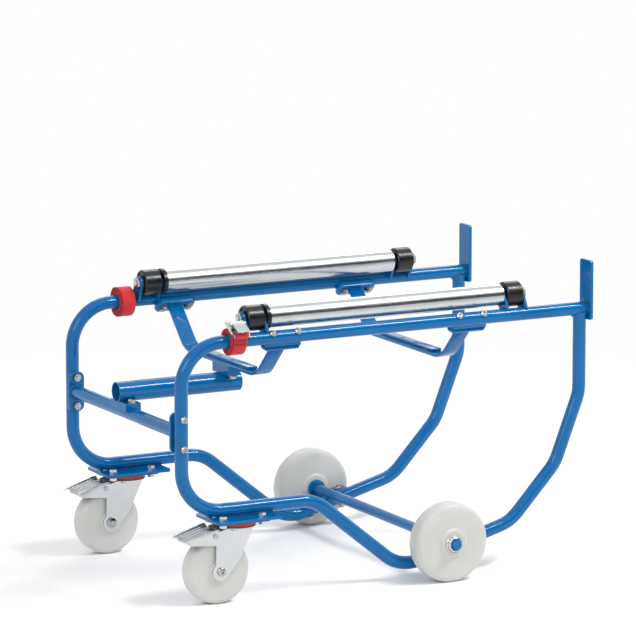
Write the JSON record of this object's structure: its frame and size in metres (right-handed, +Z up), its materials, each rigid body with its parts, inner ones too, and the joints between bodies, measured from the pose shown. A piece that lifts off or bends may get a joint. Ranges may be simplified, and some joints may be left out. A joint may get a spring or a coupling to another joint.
{
  "type": "drum tipper",
  "caption": "Drum tipper of bent blue tube: rollers carry a lying drum, braked castors and fixed wheels move it, curved lower tubes tip it by a lever socket.",
  "frame": {"origin": "centre of the bounding box on the floor", "axes": "+X from the castors (front) to the drum stops (rear), +Z up, +Y completes the right-handed frame; the strap half with the buckle is at negative Y"},
  "size_m": [0.893, 0.63, 0.577],
  "materials": {
    "frame_blue": "gloss powder coat",
    "zinc_plate": "bright zinc plate",
    "galvanised_tube": "bright galvanised",
    "black_roller": "satin",
    "nylon_wheel": "cast nylon, slightly translucent",
    "seal_ring": "satin",
    "strap_webbing": "woven polyester"
  },
  "bodies": {
    "frame": {"side_frame_left": "frame_blue", "side_frame_right": "frame_blue", "drum_stop_left": "frame_blue", "drum_stop_right": "frame_blue", "cross_tube": "frame_blue", "cross_tube_bolts": "zinc_plate", "lever_socket": "frame_blue", "socket_brackets": "frame_blue", "socket_bolts": "zinc_plate", "bearer_front": "frame_blue", "bearer_rear": "frame_blue", "bearer_bolts": "zinc_plate", "roller_lugs_left": "frame_blue", "roller_lugs_right": "frame_blue", "roller_axle_left": "zinc_plate", "roller_axle_right": "zinc_plate", "roller_axle_nuts": "zinc_plate", "spacer_rings": "black_roller", "castor_mount_left": "frame_blue", "castor_mount_right": "frame_blue", "castor_plate_left": "frame_blue", "castor_plate_right": "frame_blue", "castor_bolts_left": "zinc_plate", "castor_bolts_right": "zinc_plate", "castor_seal_left": "seal_ring", "castor_seal_right": "seal_ring", "king_pin_left": "zinc_plate", "king_pin_right": "zinc_plate", "rear_axle": "frame_blue", "axle_plates": "frame_blue", "axle_plate_bolts": "zinc_plate", "axle_collars": "frame_blue", "wheel_caps": "zinc_plate", "strap_left": "strap_webbing", "strap_right": "strap_webbing", "buckle_frame": "zinc_plate", "buckle_pin": "zinc_plate"},
    "fork_left": {"castor_fork_left": "zinc_plate", "castor_axle_left": "zinc_plate", "pedal_pin_left": "zinc_plate"},
    "castor_wheel_left": {"castor_wheel_left": "nylon_wheel"},
    "brake_pedal_left": {"brake_pedal_left": "zinc_plate"},
    "rear_wheel_left": {"rear_wheel_left": "nylon_wheel"},
    "long_roller_left": {"support_roller_left": "galvanised_tube", "roller_caps_left": "galvanised_tube"},
    "end_roller_front_left": {"end_roller_front_left": "black_roller"},
    "end_roller_rear_left": {"end_roller_rear_left": "black_roller"},
    "fork_right": {"castor_fork_right": "zinc_plate", "castor_axle_right": "zinc_plate", "pedal_pin_right": "zinc_plate"},
    "castor_wheel_right": {"castor_wheel_right": "nylon_wheel"},
    "brake_pedal_right": {"brake_pedal_right": "zinc_plate"},
    "rear_wheel_right": {"rear_wheel_right": "nylon_wheel"},
    "long_roller_right": {"support_roller_right": "galvanised_tube", "roller_caps_right": "galvanised_tube"},
    "end_roller_front_right": {"end_roller_front_right": "black_roller"},
    "end_roller_rear_right": {"end_roller_rear_right": "black_roller"},
    "buckle_lever": {"buckle_lever": "zinc_plate"}
  },
  "joints": [
    {"name": "swivel_left", "type": "hinge", "parent": "frame", "child": "fork_left", "pos_m": [-0.2995, -0.234, 0.15], "axis": [0, 0, 1], "continuous": true},
    {"name": "castor_spin_left", "type": "hinge", "parent": "fork_left", "child": "castor_wheel_left", "pos_m": [-0.3415, -0.234, 0.0625], "axis": [0, 1, 0], "continuous": true},
    {"name": "brake_left", "type": "hinge", "parent": "fork_left", "child": "brake_pedal_left", "pos_m": [-0.3525, -0.234, 0.13], "axis": [0, -1, 0], "range_deg": [0, 12]},
    {"name": "rear_spin_left", "type": "hinge", "parent": "frame", "child": "rear_wheel_left", "pos_m": [0.1225, -0.278, 0.075], "axis": [0, 1, 0], "continuous": true},
    {"name": "long_roller_spin_left", "type": "hinge", "parent": "frame", "child": "long_roller_left", "pos_m": [0.02, -0.215, 0.521], "axis": [1, 0, 0], "continuous": true},
    {"name": "end_roller_front_spin_left", "type": "hinge", "parent": "frame", "child": "end_roller_front_left", "pos_m": [-0.256, -0.215, 0.521], "axis": [1, 0, 0], "continuous": true},
    {"name": "end_roller_rear_spin_left", "type": "hinge", "parent": "frame", "child": "end_roller_rear_left", "pos_m": [0.2885, -0.215, 0.521], "axis": [1, 0, 0], "continuous": true},
    {"name": "swivel_right", "type": "hinge", "parent": "frame", "child": "fork_right", "pos_m": [-0.2995, 0.234, 0.15], "axis": [0, 0, 1], "continuous": true},
    {"name": "castor_spin_right", "type": "hinge", "parent": "fork_right", "child": "castor_wheel_right", "pos_m": [-0.3415, 0.234, 0.0625], "axis": [0, 1, 0], "continuous": true},
    {"name": "brake_right", "type": "hinge", "parent": "fork_right", "child": "brake_pedal_right", "pos_m": [-0.3525, 0.234, 0.13], "axis": [0, -1, 0], "range_deg": [0, 12]},
    {"name": "rear_spin_right", "type": "hinge", "parent": "frame", "child": "rear_wheel_right", "pos_m": [0.1225, 0.278, 0.075], "axis": [0, 1, 0], "continuous": true},
    {"name": "long_roller_spin_right", "type": "hinge", "parent": "frame", "child": "long_roller_right", "pos_m": [0.02, 0.215, 0.521], "axis": [1, 0, 0], "continuous": true},
    {"name": "end_roller_front_spin_right", "type": "hinge", "parent": "frame", "child": "end_roller_front_right", "pos_m": [-0.256, 0.215, 0.521], "axis": [1, 0, 0], "continuous": true},
    {"name": "end_roller_rear_spin_right", "type": "hinge", "parent": "frame", "child": "end_roller_rear_right", "pos_m": [0.2885, 0.215, 0.521], "axis": [1, 0, 0], "continuous": true},
    {"name": "buckle_open", "type": "hinge", "parent": "frame", "child": "buckle_lever", "pos_m": [-0.3025, -0.24795, 0.51865], "axis": [-1, 0, 0], "range_deg": [0, 60]}
  ]
}
